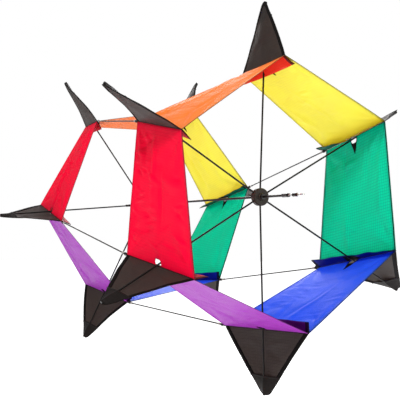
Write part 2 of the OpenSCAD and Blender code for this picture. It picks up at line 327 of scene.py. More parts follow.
def belongs(obj, slot, *nodes):
    """Rides on the kite's frame and stands for nodes, which it hides. slot is not used."""
    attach(obj, "kite")
    if nodes:
        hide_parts(*nodes)


# ---- Materials ----

def node_setup(name):
    """A new material and its empty node tree."""
    mat = bpy.data.materials.new(name)
    mat.use_nodes = True
    tree = mat.node_tree
    tree.nodes.clear()
    return mat, tree


def add(tree, kind, **values):
    """A node, with its own settings and its inputs' values."""
    node = tree.nodes.new(kind)
    for key, value in values.items():
        if hasattr(node, key):
            setattr(node, key, value)
        else:
            node.inputs[key].default_value = value
    return node


def link(tree, a, a_out, b, b_in):
    """From an output of node a to an input of node b."""
    tree.links.new(a.outputs[a_out], b.inputs[b_in])


def math_node(tree, operation, first, second=None):
    """The result of a sum on two sockets or numbers."""
    node = add(tree, "ShaderNodeMath", operation=operation)
    for k, value in enumerate((first, second)):
        if isinstance(value, (int, float)):
            node.inputs[k].default_value = value
        elif value is not None:
            tree.links.new(value, node.inputs[k])
    return node.outputs[0]


LINE_CORE = 0.35  # the share of a thick thread's width that is at full strength


def grid_lines(tree, coordinates, pitch, width):
    """1 on the ripstop's thick threads, every pitch both ways, and 0 between."""
    split = add(tree, "ShaderNodeSeparateXYZ")
    tree.links.new(coordinates, split.inputs[0])
    lines = []
    for axis in (0, 1):
        turned = math_node(tree, "PINGPONG", split.outputs[axis], pitch / 2)
        near = add(tree, "ShaderNodeMapRange", interpolation_type="SMOOTHSTEP")
        near.inputs["From Min"].default_value = width
        near.inputs["From Max"].default_value = width * LINE_CORE
        tree.links.new(turned, near.inputs["Value"])
        lines.append(near.outputs[0])
    return math_node(tree, "MAXIMUM", lines[0], lines[1])


# How much the thick threads, the weave and small creases add to the cloth's relief.
LINE_RELIEF = 0.9
WEAVE_RELIEF = 0.12
CREASE_RELIEF = 4
END_SHADE = 0.12  # how light the cloth is beyond its ends


def cloth_material(name, colour, thread, rough, glow, glow_colour=None, ior=1.2,
                   crumple=0.35, grid=0.35, ends=None):
    """Ripstop: a plain weave with a thick thread every 5 mm, that lets light through.
    Beyond ends along the seam, if it is given, the cloth is dark."""
    mat, tree = node_setup(name)
    uv = add(tree, "ShaderNodeUVMap", uv_map="cloth")
    lines = grid_lines(tree, uv.outputs[0], RIPSTOP_PITCH, RIPSTOP_LINE)

    blotch = add(tree, "ShaderNodeTexNoise", Scale=16.0, Detail=3.0, Roughness=0.6)
    tree.links.new(uv.outputs[0], blotch.inputs["Vector"])
    shade = add(tree, "ShaderNodeMix", data_type="RGBA", blend_type="MIX")
    shade.inputs[6].default_value = deeper(colour, 0.90)
    shade.inputs[7].default_value = brighter(colour, 1.06)
    tree.links.new(blotch.outputs[0], shade.inputs[0])
    woven = add(tree, "ShaderNodeMix", data_type="RGBA", blend_type="MIX")
    woven.inputs[7].default_value = thread
    tree.links.new(math_node(tree, "MULTIPLY", lines, grid), woven.inputs[0])
    tree.links.new(shade.outputs[2], woven.inputs[6])

    paint_out = woven.outputs[2]
    if ends is not None:
        split = add(tree, "ShaderNodeSeparateXYZ")
        tree.links.new(uv.outputs[0], split.inputs[0])
        along = math_node(tree, "ABSOLUTE", split.outputs[1])
        at_end = math_node(tree, "GREATER_THAN", along, ends)
        hemmed = add(tree, "ShaderNodeMix", data_type="RGBA", blend_type="MIX")
        hemmed.inputs[7].default_value = deeper(colour, END_SHADE)
        tree.links.new(at_end, hemmed.inputs[0])
        tree.links.new(paint_out, hemmed.inputs[6])
        paint_out = hemmed.outputs[2]

    weave = add(tree, "ShaderNodeTexChecker", Scale=2200.0)
    tree.links.new(uv.outputs[0], weave.inputs["Vector"])
    creases = add(tree, "ShaderNodeTexNoise", Scale=70.0, Detail=5.0, Roughness=0.55, Distortion=0.8)
    tree.links.new(uv.outputs[0], creases.inputs["Vector"])
    raised_lines = math_node(tree, "MULTIPLY", lines, LINE_RELIEF)
    raised_weave = math_node(tree, "MULTIPLY", weave.outputs[1], WEAVE_RELIEF)
    raised_creases = math_node(tree, "MULTIPLY", creases.outputs[0], CREASE_RELIEF * crumple)
    height = math_node(tree, "ADD", raised_lines, raised_weave)
    height = math_node(tree, "ADD", height, raised_creases)
    relief = add(tree, "ShaderNodeBump", Strength=0.45, Distance=0.0004)
    tree.links.new(height, relief.inputs["Height"])

    front = add(tree, "ShaderNodeBsdfPrincipled")
    front.inputs["IOR"].default_value = ior
    gloss = add(tree, "ShaderNodeMapRange")
    gloss.inputs["To Min"].default_value = rough - 0.06
    gloss.inputs["To Max"].default_value = rough + 0.10
    tree.links.new(blotch.outputs[0], gloss.inputs["Value"])
    tree.links.new(gloss.outputs[0], front.inputs["Roughness"])
    tree.links.new(paint_out, front.inputs["Base Color"])
    tree.links.new(relief.outputs[0], front.inputs["Normal"])
    through = add(tree, "ShaderNodeBsdfTranslucent")
    if glow_colour is None:
        tree.links.new(paint_out, through.inputs["Color"])
    else:
        through.inputs["Color"].default_value = glow_colour
    tree.links.new(relief.outputs[0], through.inputs["Normal"])
    mix = add(tree, "ShaderNodeMixShader")
    mix.inputs[0].default_value = glow
    link(tree, front, 0, mix, 1)
    link(tree, through, 0, mix, 2)
    out = add(tree, "ShaderNodeOutputMaterial")
    link(tree, mix, 0, out, 0)
    return mat


def solid_material(name, colour, rough, metal=0.0, coat=0.0, grain=(60.0, 60.0, 60.0),
                   relief=0.15, wear=None, depth=0.0002, ior=1.4):
    """A moulded, drawn or plated surface: blotched colour, uneven gloss, fine grain,
    and a paler wear colour on its edges if one is given."""
    mat, tree = node_setup(name)
    place = add(tree, "ShaderNodeTexCoord")
    stretch = add(tree, "ShaderNodeMapping")
    stretch.inputs["Scale"].default_value = grain
    tree.links.new(place.outputs["Object"], stretch.inputs[0])
    fine = add(tree, "ShaderNodeTexNoise", Scale=9.0, Detail=6.0, Roughness=0.65)
    tree.links.new(stretch.outputs[0], fine.inputs["Vector"])
    broad = add(tree, "ShaderNodeTexNoise", Scale=42.0, Detail=3.0)
    tree.links.new(place.outputs["Object"], broad.inputs["Vector"])
    tint = add(tree, "ShaderNodeMix", data_type="RGBA", blend_type="MIX")
    tint.inputs[6].default_value = deeper(colour, 0.78)
    tint.inputs[7].default_value = brighter(colour, 1.25)
    tree.links.new(broad.outputs[0], tint.inputs[0])
    colour_out = tint.outputs[2]
    if wear is not None:
        edge = add(tree, "ShaderNodeNewGeometry")
        rub = add(tree, "ShaderNodeMapRange")
        rub.inputs["From Min"].default_value = 0.53
        rub.inputs["From Max"].default_value = 0.62
        rub.inputs["To Max"].default_value = 0.6
        tree.links.new(edge.outputs["Pointiness"], rub.inputs["Value"])
        worn = add(tree, "ShaderNodeMix", data_type="RGBA", blend_type="MIX")
        worn.inputs[7].default_value = wear
        tree.links.new(rub.outputs[0], worn.inputs[0])
        tree.links.new(colour_out, worn.inputs[6])
        colour_out = worn.outputs[2]
    gloss = add(tree, "ShaderNodeMapRange")
    gloss.inputs["To Min"].default_value = max(0.05, rough - 0.08)
    gloss.inputs["To Max"].default_value = min(1, rough + 0.12)
    tree.links.new(fine.outputs[0], gloss.inputs["Value"])
    raised = add(tree, "ShaderNodeBump", Strength=relief, Distance=depth)
    tree.links.new(fine.outputs[0], raised.inputs["Height"])
    shader = add(tree, "ShaderNodeBsdfPrincipled")
    shader.inputs["Metallic"].default_value = metal
    shader.inputs["IOR"].default_value = ior
    shader.inputs["Coat Weight"].default_value = coat
    shader.inputs["Coat Roughness"].default_value = 0.15
    tree.links.new(colour_out, shader.inputs["Base Color"])
    tree.links.new(gloss.outputs[0], shader.inputs["Roughness"])
    tree.links.new(raised.outputs[0], shader.inputs["Normal"])
    out = add(tree, "ShaderNodeOutputMaterial")
    link(tree, shader, 0, out, 0)
    return mat


SAIL_COLOURS = {
    "red": srgb(243, 0, 60),
    "orange": srgb(240, 138, 56),
    "yellow": srgb(255, 246, 90),
    "green": srgb(0, 220, 178),
    "blue": srgb(44, 100, 238),
    "purple": srgb(176, 60, 194),
}
# Painted shade: the flaps' colours are their sails' colours made deeper and darker, for the shade the flaps
# hang in and the light that comes through two layers of cloth.
FLAP_SHADED_COLOURS = {
    "red": srgb(214, 10, 52),
    "orange": srgb(255, 52, 8),
    "yellow": srgb(214, 170, 10),
    "green": srgb(14, 112, 92),
    "blue": srgb(14, 30, 150),
    "purple": srgb(76, 8, 102),
}
FLAP_END = HALF_SEAM - 0.0075
GRID = {"green": 0.6, "purple": 0.5}
GRID_SHADE = {"green": 0.36, "purple": 0.5}
EDGE_SHADE = {"green": 0.03}
SHEEN = {"purple": 1.28, "red": 1.14}
SAIL, HEM, EDGE, FLAP, THREAD = {}, {}, {}, {}, {}
for paint, tone in SAIL_COLOURS.items():
    line_tone = deeper(tone, GRID_SHADE.get(paint, 0.72))
    SAIL[paint] = cloth_material(f"sailcloth_{paint}", tone, line_tone, 0.42, 0.42,
                                 ior=SHEEN.get(paint, 1.2), grid=GRID.get(paint, 0.35))
    HEM[paint] = cloth_material(f"hem_{paint}", deeper(tone, 0.78), deeper(tone, 0.6), 0.5, 0.25)
    dark = deeper(tone, EDGE_SHADE.get(paint, 0.10))
    EDGE[paint] = cloth_material(f"edge_{paint}", dark, dark, 0.5, 0.05)
    THREAD[paint] = solid_material(f"thread_{paint}", deeper(tone, 0.55), 0.55, relief=0.4)
    # The flap's cloth takes the darker colour with painted shade in it.
    deep = FLAP_SHADED_COLOURS[paint]
    FLAP[paint] = cloth_material(f"flap_{paint}", deep, deeper(deep, 0.7), 0.5, 0.4, ends=FLAP_END)
WING_CLOTH = cloth_material("winglet_cloth", srgb(52, 44, 41), srgb(16, 13, 12), 0.40, 0.42,
                            glow_colour=srgb(134, 118, 111), ior=1.27, grid=0.9)
POCKET_CLOTH = cloth_material("pocket_cloth", srgb(27, 22, 20), srgb(16, 13, 12), 0.5, 0.25,
                              glow_colour=srgb(52, 44, 41), grid=0.6)
BLACK_CLOTH = cloth_material("black_cloth", srgb(15, 12, 11), srgb(9, 7, 7), 0.65, 0.02, ior=1.12)
WEBBING = cloth_material("webbing", srgb(22, 20, 20), srgb(34, 31, 30), 0.7, 0.02)
THREAD_BLACK = solid_material("thread_black", srgb(24, 21, 20), 0.6, relief=0.4)
ROD = solid_material("rod", srgb(18, 15, 13), 0.34, grain=(120, 12, 120), relief=0.12, ior=1.25)
HUB = solid_material("hub", srgb(36, 28, 22), 0.52, relief=0.35, wear=srgb(70, 60, 50), ior=1.3)
VINYL = solid_material("vinyl", srgb(24, 22, 22), 0.42, relief=0.25, depth=0.0003)
COLLAR = solid_material("collar", srgb(128, 124, 120), 0.38, relief=0.15)
FERRULE = solid_material("ferrule", srgb(30, 28, 27), 0.35, coat=0.2, relief=0.15)
BARREL = solid_material("barrel", srgb(30, 29, 28), 0.22, metal=1.0, relief=0.1,
                        wear=srgb(150, 144, 134))
STEEL = solid_material("steel", srgb(176, 172, 166), 0.24, metal=1.0, relief=0.1,
                       wear=srgb(205, 202, 196))


# ---- Sails ----

SHAKE = random.Random(11)


def crease_set(n, length, height, width, heading, near=-1, far=1):
    """Random soft creases: a place, the cosine and sine of a heading (0 runs along the
    seams), half a length, a width and a height."""
    creases = []
    for _ in range(n):
        turn = SHAKE.uniform(*heading)
        creases.append((
            SHAKE.uniform(0.04, 0.96) * SAIL_W, SHAKE.uniform(near, far) * HALF_SEAM,
            math.cos(turn), math.sin(turn), SHAKE.uniform(0.5, 1.0) * length / 2,
            SHAKE.uniform(*width), SHAKE.uniform(0.4, 1.0) * height * SHAKE.choice((-1, 1)),
        ))
    return creases


CREASE_REACH = 2.4  # past this many widths or half lengths a crease is flat


def crease_height(creases, a, b):
    """How high all the creases together lift the cloth at (a, b)."""
    total = 0.0
    for ca, cb, cos, sin, half_len, width, height in creases:
        da, db = a - ca, b - cb
        across = (da * cos - db * sin) / width
        if abs(across) < CREASE_REACH:
            along = (da * sin + db * cos) / half_len
            if abs(along) < CREASE_REACH:
                total += height * math.exp(-across * across - along * along)
    return total


# The ridge from spar hole to spar hole: its height, its roundness and its bow's power.
RIDGE_H = 0.0036
RIDGE_SOFT = 0.10
RIDGE_BOW = 0.6

# The folds that fan out from a corner: their height, how many, and where they run,
# in shares of the sail's width. The sail is about twice as wide as half its seam.
PULL_H = 0.0016
PULL_RAYS = 9.0
PULL_NEAR = 0.02
PULL_FULL = 0.12
PULL_FAR = 0.62
SEAM_SHARE = 0.46

# The sewn edges hold the cloth flat: over this share of the width from each seam, and
# between these two shares of the way to each free edge.
HELD_BY_SEAM = 0.16
HELD_FROM = 0.7
HELD_TO = 0.97
HELD_SHARE = 0.9

SOFT_H = 0.0016
ALONG_SEAM = (-0.6, 0.35)
ACROSS = (1.25, 1.85)
CRUMPLED = {"red": 2.4, "orange": 0.6, "blue": 0.6}


def sail_surface(cell, corner):
    """The sail between two corner seams: a twisted sheet with a soft ridge from
    spar hole to spar hole, folds that run from its corners, and creases."""
    start = corner_point(cell, corner, SEAM_R, 0, CLOTH_OFF - SAIL_EDGE)
    end = corner_point(cell, corner + 1, SEAM_R, 0, CLOTH_OFF + SAIL_EDGE)
    seam_a = corner_axes(cell, corner)[1]
    seam_b = corner_axes(cell, corner + 1)[1]
    middle = (start + end) / 2 - Vector((0, HUB_Y[cell], 0))
    outwards = Vector((middle.x, 0, middle.z)).normalized()
    strength = CRUMPLED.get(COLOURS[corner - 1], 1)
    fine = crease_set(30, length=0.044, height=0.0012 * strength,
                      width=(0.0022, 0.0040), heading=ALONG_SEAM)
    fine += crease_set(26, length=0.038, height=0.0013 * strength,
                       width=(0.0022, 0.0038), heading=ALONG_SEAM, near=0.1)
    calm = min(1, strength)
    broad = crease_set(4, length=0.130, height=0.0030 * calm,
                       width=(0.005, 0.008), heading=ACROSS)
    broad += crease_set(5, length=0.100, height=0.0020 * calm,
                        width=(0.006, 0.010), heading=ALONG_SEAM)
    seed = Vector((SHAKE.uniform(0, 50), SHAKE.uniform(0, 50), 0))

    def surface(a, b):
        u, s = a / SAIL_W, b / HALF_SEAM
        base = (start + seam_a * b) * (1 - u) + (end + seam_b * b) * u
        off_seams = smooth(u, 0, HELD_BY_SEAM) * smooth(1 - u, 0, HELD_BY_SEAM)
        held = off_seams * (1 - HELD_SHARE * smooth(abs(s), HELD_FROM, HELD_TO))
        bow = math.sin(math.pi * min(1, max(0, u))) ** RIDGE_BOW
        ridge = RIDGE_H * (1 - math.hypot(s, RIDGE_SOFT) + RIDGE_SOFT) * bow
        pull = 0.0
        for u0, s0 in ((0, -1), (0, 1), (1, -1), (1, 1)):
            du, ds = abs(u - u0), abs(s - s0) * SEAM_SHARE
            reach = math.hypot(du, ds)
            spread = math.atan2(ds, du)
            fade = smooth(reach, PULL_NEAR, PULL_FULL) * (1 - smooth(reach, PULL_FULL, PULL_FAR))
            pull += PULL_H * fade * math.cos(spread * PULL_RAYS + u0)
        soft = SOFT_H * noise.noise(seed + Vector((a * 22, b * 14, 0)))
        lift = ridge + held * (pull + soft + crease_height(broad, a, b))
        lift += held * crease_height(fine, a, b)
        return base + outwards * lift

    return surface


# A sail leaves its seam 30 degrees off the direction square to the winglet, so the spar's
# hole is wider in the sail's own flat cut.
SAIL_LEAN = math.cos(math.radians(30))
HOLE_AT = (SPAR_HOLE_R - SAIL_EDGE) / SAIL_LEAN


def hole_notch(start, grow, steps=9):
    """The edge of the long spar hole in the sail's flat cut, beyond a = start."""
    wide, high = SPAR_HOLE_R / SAIL_LEAN + grow, SPAR_HOLE_R + grow
    shift = SPAR_HOLE_LEN / 2 - SPAR_HOLE_R
    turn = math.acos((start - HOLE_AT) / wide)
    half = [
        (HOLE_AT + wide * math.cos(t), shift + high * math.sin(t))
        for t in (turn * (1 - k / steps) for k in range(steps + 1))
    ]
    return half + [(a, -b) for a, b in reversed(half)]


def sail_outline():
    """The sail's flat cut, with the notch that lets the spar out."""
    near_side = [(0, HALF_SEAM), *hole_notch(0, 0), (0, -HALF_SEAM)]
    return near_side + [(SAIL_W, -HALF_SEAM), (SAIL_W, HALF_SEAM)]


HEM_W = 0.0055
HEM_T = 0.0008
HEM_STEPS = 54
STITCH_START = 0.002


def sail_hems(side):
    """Pairs of points along a free edge: on the edge, and the hem's width in."""
    edge = side * HALF_SEAM
    across = [SAIL_W * k / HEM_STEPS for k in range(HEM_STEPS + 1)]
    return [((a, edge), (a, edge - side * HEM_W)) for a in across]


def make_sail(cell, corner):
    """One sail with its hems and stitches. Gives its surface back for the patch."""
    colour = COLOURS[corner - 1]
    name = f"{cell}_sail_{colour}"
    surface = sail_surface(cell, corner)
    sail = sheet_object(name, sail_outline(), surface, SAIL[colour], step=SAIL_SPACING)
    belongs(sail, f"sail_{colour}", f"{cell}_panel_{colour}")
    hems = band_object(f"{name}_hems", [sail_hems(1), sail_hems(-1)], surface,
                       HEM[colour], EDGE[colour], HEM_T, FOLD_SEEN.get(colour, HEM_FOLD))
    belongs(hems, f"sail_{colour}")
    line = HALF_SEAM - HEM_W * SEWN_AT
    rows = [[(STITCH_START, s), (SAIL_W - STITCH_START, s)] for s in (line, -line)]
    faces_at = (HEM_T / 2, -HEM_T / 2)
    sewn = stitches_object(f"{name}_stitches", rows, surface, THREAD[colour], faces_at)
    belongs(sewn, f"sail_{colour}")
    return surface


PATCH_START, PATCH_LEN, PATCH_HALF = 0.0015, 0.0285, 0.013
PATCH_POINT = 0.0008
PATCH_LIFT = 0.0005
HOLE_MARGIN = 0.0002


def make_patch(cell, corner, surface):
    """A three-cornered patch beside the spar hole, on the inner face of the sail."""
    tip = PATCH_START + PATCH_LEN
    outline = [(PATCH_START, PATCH_HALF), *hole_notch(PATCH_START, HOLE_MARGIN),
               (PATCH_START, -PATCH_HALF), (tip, -PATCH_POINT), (tip, PATCH_POINT)]

    def inner_face(a, b):
        return lifted(surface, a, b, -PATCH_LIFT)

    patch = sheet_object(f"{cell}_patch_{corner}", outline, inner_face, BLACK_CLOTH,
                         HEAVY_CLOTH_T, PATCH_SPACING)
    belongs(patch, "trim_black", "spar_hole_patches")
    flat_area(outline)


# ---- Winglets ----

# From the seam to the tip's centre, and the slope of a side that runs into the round tip.
EDGE_RUN = TIP_R - TIP_ROUND - SEAM_R
EDGE_SLOPE = math.asin(TIP_ROUND / math.hypot(EDGE_RUN, HALF_SEAM)) - math.atan2(HALF_SEAM, EDGE_RUN)
EDGE_COS = math.cos(EDGE_SLOPE)


def tip_arc(inset=0.0, steps=14):
    """The winglet's rounded end, this far inside its edge."""
    reach, radius = EDGE_SLOPE + math.pi / 2, TIP_ROUND - inset
    return [
        (EDGE_RUN + radius * math.cos(t), radius * math.sin(t))
        for t in (reach * (1 - 2 * k / steps) for k in range(steps + 1))
    ]


def half_width(a, inset=0.0):
    """Half the winglet's width at height a over the seam."""
    radius = TIP_ROUND - inset
    if a < EDGE_RUN + radius * math.cos(EDGE_SLOPE + math.pi / 2):
        return HALF_SEAM + a * math.tan(EDGE_SLOPE) - inset / EDGE_COS
    return math.sqrt(max(0, radius ** 2 - (a - EDGE_RUN) ** 2))


def wing_outline(start=0.0, inset=0.0, steps=22):
    """The winglet's flat cut from height start to its tip."""
    arc = tip_arc(inset)
    rise = arc[0][0] - start
    heights = [start + rise * k / steps for k in range(steps)]
    up = [(a, half_width(a, inset)) for a in heights]
    return up + arc + [(x, -y) for x, y in reversed(up)]


# The tent's height from its edges to the spar, how far its top stands off the flat
# winglet, how round the top is, and the slack beside it.
TENT_H = 0.0056
TENT_RISE = 0.0032
TENT_SOFT = 0.12
SLACK = 0.0016
SLACK_REACH = 0.8
WING_SOFT_H = 0.0010
LEAST_WIDTH = 0.004


def wing_surface(cell, corner):
    """The winglet's cloth: a low tent over the spar, slack on each side of it."""
    x, y, z = corner_axes(cell, corner)
    origin = Vector((0, HUB_Y[cell], 0)) + x * SEAM_R + z * CLOTH_OFF
    seed = Vector((SHAKE.uniform(0, 50), SHAKE.uniform(0, 50), 0))
    slack = [SHAKE.uniform(-SLACK, SLACK) for _ in (0, 1)]
    creases = wing_creases()

    def surface(a, b):
        t = min(1.0, abs(b) / max(LEAST_WIDTH, half_width(a)))
        free = math.sin(math.pi * min(1, max(0, a / EDGE_RUN)))
        belly = slack[0 if b > 0 else 1] * math.sin(math.pi * t * SLACK_REACH) * free
        belly += free * (TENT_RISE - TENT_H * (math.hypot(t, TENT_SOFT) - TENT_SOFT))
        soft = WING_SOFT_H * noise.noise(seed + Vector((a * 30, b * 22, 0))) * free
        fold = crease_height(creases, a, b) * free
        return origin + x * a + y * b + z * (belly + soft + fold)

    return surface


def wing_creases():
    """Folds that run across a winglet, from its free edges towards the spar."""
    folds = []
    for side in (-1, 1):
        for _ in range(5):
            high = SHAKE.uniform(0.1, 0.75)
            away = SHAKE.uniform(0.25, 0.7) * (1 - high) * HALF_SEAM * side
            turn = SHAKE.uniform(-0.5, 0.5)
            half_len = SHAKE.uniform(0.015, 0.03)
            width = SHAKE.uniform(0.003, 0.006)
            height = SHAKE.uniform(-0.0014, 0.0014)
            folds.append((high * EDGE_RUN, away, math.cos(turn), math.sin(turn), half_len, width, height))
    return folds


WING_HEM_W = 0.0078
WING_HEM_T = 0.0009


def wing_hem(side):
    """Pairs of points from the seam to the tip: on the edge, and the hem's width in."""
    outline = wing_outline()
    n = len(outline) // 2
    edge = outline[:n + 1] if side > 0 else [(a, -b) for a, b in outline[:n + 1]]
    pairs = []
    for k, (a, b) in enumerate(edge):
        before = Vector(edge[max(0, k - 1)])
        after = Vector(edge[min(len(edge) - 1, k + 1)])
        run = (after - before).normalized()
        inward = Vector((run.y, -run.x)) if side > 0 else Vector((-run.y, run.x))
        tip = Vector((a, b)) + inward * WING_HEM_W
        pairs.append(((a, b), (max(0.0, tip.x), tip.y)))
    return pairs


def make_winglet(cell, corner):
    """One winglet with its hems, stitches and tip pocket."""
    name = f"{cell}_wing_{corner}"
    surface = wing_surface(cell, corner)
    wing = sheet_object(name, wing_outline(), surface, WING_CLOTH)
    belongs(wing, "winglet_grey", f"{cell}_winglet_{corner}")
    strips = [wing_hem(1), wing_hem(-1)]
    hem = band_object(f"{name}_hem", strips, surface, BLACK_CLOTH, BLACK_CLOTH, WING_HEM_T)
    belongs(hem, "trim_black")
    rows = []
    for strip in strips:
        rows.append([(ea + (ia - ea) * SEWN_AT, eb + (ib - eb) * SEWN_AT) for (ea, eb), (ia, ib) in strip])
    faces_at = (WING_HEM_T / 2, -WING_HEM_T / 2)
    sewn = stitches_object(f"{name}_stitches", rows, surface, THREAD_BLACK, faces_at)
    belongs(sewn, "trim_black")
    flat_area(wing_outline())
    make_pocket(cell, corner, surface)


POCKET_START = POCKET_FROM * WING_H
POCKET_INSET = 0.0009
POCKET_RISE = CLOTH_OFF + CAP_R + 0.0003  # how far it stands off over the spar's cap
POCKET_WRAP = 0.55  # how far it wraps round the cap
POCKET_FALL = 1.25  # how it falls away beside the cap
POCKET_LEAST = 0.00035
POCKET_LEAST_WIDTH = 0.003
POCKET_HEM_W = 0.0035
POCKET_HEM_T = 0.0005
POCKET_HEM_STEPS = 20


def cap_rise(share):
    """How far the pocket stands off over the spar's cap, 0 at its middle and 1 at its side."""
    return POCKET_RISE - CAP_R * (1 - math.sqrt(max(0, 1 - share ** 2 * POCKET_WRAP)))


def make_pocket(cell, corner, wing):
    """The second layer at the winglet's tip, tight over the capped spar's end."""
    aside = corner_axes(cell, corner)[2]
    outline = wing_outline(POCKET_START, POCKET_INSET, 8)

    def surface(a, b):
        wide = max(POCKET_LEAST_WIDTH, half_width(a, POCKET_INSET))
        t = min(1.0, abs(b) / wide)
        core = CAP_R / wide
        if t < core:
            rise = cap_rise(t / core)
        else:
            rise = cap_rise(1) * (1 - (t - core) / (1 - core)) ** POCKET_FALL
        return wing(a, b) - aside * max(rise, POCKET_LEAST)

    name = f"{cell}_pocket_{corner}"
    pocket = sheet_object(name, outline, surface, POCKET_CLOTH, HEAVY_CLOTH_T, POCKET_SPACING)
    belongs(pocket, "winglet_grey", f"{cell}_tip_pockets")
    mouth = half_width(POCKET_START, POCKET_INSET)
    across = [mouth * (1 - 2 * k / POCKET_HEM_STEPS) for k in range(POCKET_HEM_STEPS + 1)]
    strip = [((POCKET_START, b), (POCKET_START + POCKET_HEM_W, b)) for b in across]
    hem = band_object(f"{name}_hem", [strip], surface, POCKET_CLOTH, POCKET_CLOTH, POCKET_HEM_T)
    belongs(hem, "winglet_grey")
    flat_area(outline)


# ---- Seam flaps ----

FLAP_FLARE = 0.006
FLAP_GAP = 0.0004
FLAP_ROOT, FLAP_CURL = 0.7, 0.3  # how much of its lean a flap has at the seam, and gains
FLAP_WAVE = 0.16
FLAP_LOOSE = 0.35

# The flap's patch: half its length, where it starts, and its depth, narrow end and lift
# in shares of the flap's width, its own length and the gap between the layers.
FLAP_PATCH = 0.018
FLAP_PATCH_FROM = 0.0006
FLAP_PATCH_TO = 0.9
FLAP_PATCH_TAPER = 0.8
FLAP_PATCH_LIFT = 2.1

FLAP_TURNS = {  # how far a flap leans at its near end, its middle and its far end
    ("front", 1): (-0.84, -0.35, 0.13),
    ("front", 2): (0.05, 0.05, 0.70),
    ("front", 3): (-0.62, -0.15, 0.35),
    ("front", 4): (-0.36, -0.10, 0.10),
    ("front", 5): (0.25, 0.80, 0.80),
    ("front", 6): (0.35, 0.0, -0.1),
}


def flap_surface(cell, corner):
    """The seam's spare cloth inside the cell. It stands towards the spine."""
    x, y, z = corner_axes(cell, corner)
    origin = Vector((0, HUB_Y[cell], 0)) + x * (SEAM_R - FLAP_GAP) + z * CLOTH_OFF
    seed = Vector((SHAKE.uniform(0, 50), SHAKE.uniform(0, 50), 0))
    loose = [SHAKE.uniform(-FLAP_LOOSE, FLAP_LOOSE), 0.0, SHAKE.uniform(-FLAP_LOOSE, FLAP_LOOSE)]
    near, middle, far = FLAP_TURNS.get((cell, corner), loose)

    def surface(a, b):
        t = a / FLAP_W
        s = b / HALF_SEAM
        wave = FLAP_WAVE * noise.noise(seed + Vector((b * 34, a * 20, 0)))
        lean = middle + (near - middle) * max(0, -s) + (far - middle) * max(0, s)
        turn = lean * (FLAP_ROOT + FLAP_CURL * t) + wave * t
        inwards = z * math.sin(turn) - x * math.cos(turn)
        return origin + y * (b * (1 + FLAP_FLARE / HALF_SEAM * t)) + inwards * a

    return surface


def make_flap(cell, corner):
    """The two sails' spare cloth side by side, one layer of each colour."""
    surface = flap_surface(cell, corner)
    outline = [(0, HALF_SEAM), (0, -HALF_SEAM), (FLAP_W, -HALF_SEAM), (FLAP_W, HALF_SEAM)]
    for side, colour in ((1, COLOURS[corner - 1]), (-1, COLOURS[corner - 2])):
        def layer(a, b, off=side * FLAP_GAP):
            return lifted(surface, a, b, off)
        # Each layer's colour has painted shade in it.
        flap = sheet_object(f"{cell}_flap_{corner}_{colour}", outline, layer, FLAP[colour],
                            HEAVY_CLOTH_T, FLAP_SPACING)
        belongs(flap, f"sail_{colour}", f"{cell}_seam_flaps")

    def face(a, b):
        return lifted(surface, a, b, FLAP_PATCH_LIFT * FLAP_GAP)

    deep, narrow = FLAP_W * FLAP_PATCH_TO, FLAP_PATCH * FLAP_PATCH_TAPER
    square = [(FLAP_PATCH_FROM, -FLAP_PATCH), (FLAP_PATCH_FROM, FLAP_PATCH), (deep, narrow), (deep, -narrow)]
    patch = sheet_object(f"{cell}_flap_patch_{corner}", square, face, BLACK_CLOTH,
                         HEAVY_CLOTH_T, POCKET_SPACING)
    belongs(patch, "trim_black", "spar_hole_patches")
    flat_area(square)


SEAM_T = 0.0013
SEAM_W = 0.0019
SEAM_ROWS, SEAM_RING = 70, 10
RIPPLE, RIPPLE_RATE = 0.10, 900  # the stitching's even waves
LUMPS = 0.06


def make_seam(cell, corner):
    """The sewn ridge where two sails, a winglet and a flap meet."""
    x, y, z = corner_axes(cell, corner)
    origin = Vector((0, HUB_Y[cell], 0)) + x * SEAM_R + z * CLOTH_OFF
    verts, faces = [], []
    rows, ring = SEAM_ROWS, SEAM_RING
    for r in range(rows + 1):
        b = HALF_SEAM * (2 * r / rows - 1)
        lump = LUMPS * noise.noise(Vector((b * 60, corner, HUB_Y[cell] * 9)))
        swell = 1 + RIPPLE * math.sin(b * RIPPLE_RATE) + lump
        for k in range(ring):
            t = 2 * math.pi * k / ring
            verts.append(origin + y * b + x * (SEAM_W / 2 * math.cos(t) * swell)
                         + z * (SEAM_T / 2 * math.sin(t) * swell))
    for r in range(rows):
        for k in range(ring):
            p, q = r * ring + k, r * ring + (k + 1) % ring
            faces.append((p, q, q + ring, p + ring))
    faces.append(tuple(range(ring - 1, -1, -1)))
    faces.append(tuple(rows * ring + k for k in range(ring)))
    seam = new_object(f"{cell}_seam_{corner}", verts, faces, WEBBING)
    cloth_uv(seam, [(v.z, v.y) for v in verts])
    belongs(seam, "trim_black")


# ---- Loops at the longerons' ends ----

LOOP_START, LOOP_LEN = 0.005, 0.004
LOOP_FROM, LOOP_SWEEP = math.radians(-60), math.radians(300)
LOOP_STEPS = 20
LONGERON_CAP_R = 0.002
LOOP_INNER_R = LONGERON_CAP_R + 0.00005
LOOP_OUTER_R = LONGERON_CAP_R + 0.0007


def longeron_end(cell, corner):
    """Where the seam's end meets the longeron, on the side of the other cell."""
    side = 1 if cell == "front" else -1
    return corner_point(cell, corner, SEAM_R, side * HALF_SEAM, CLOTH_OFF)


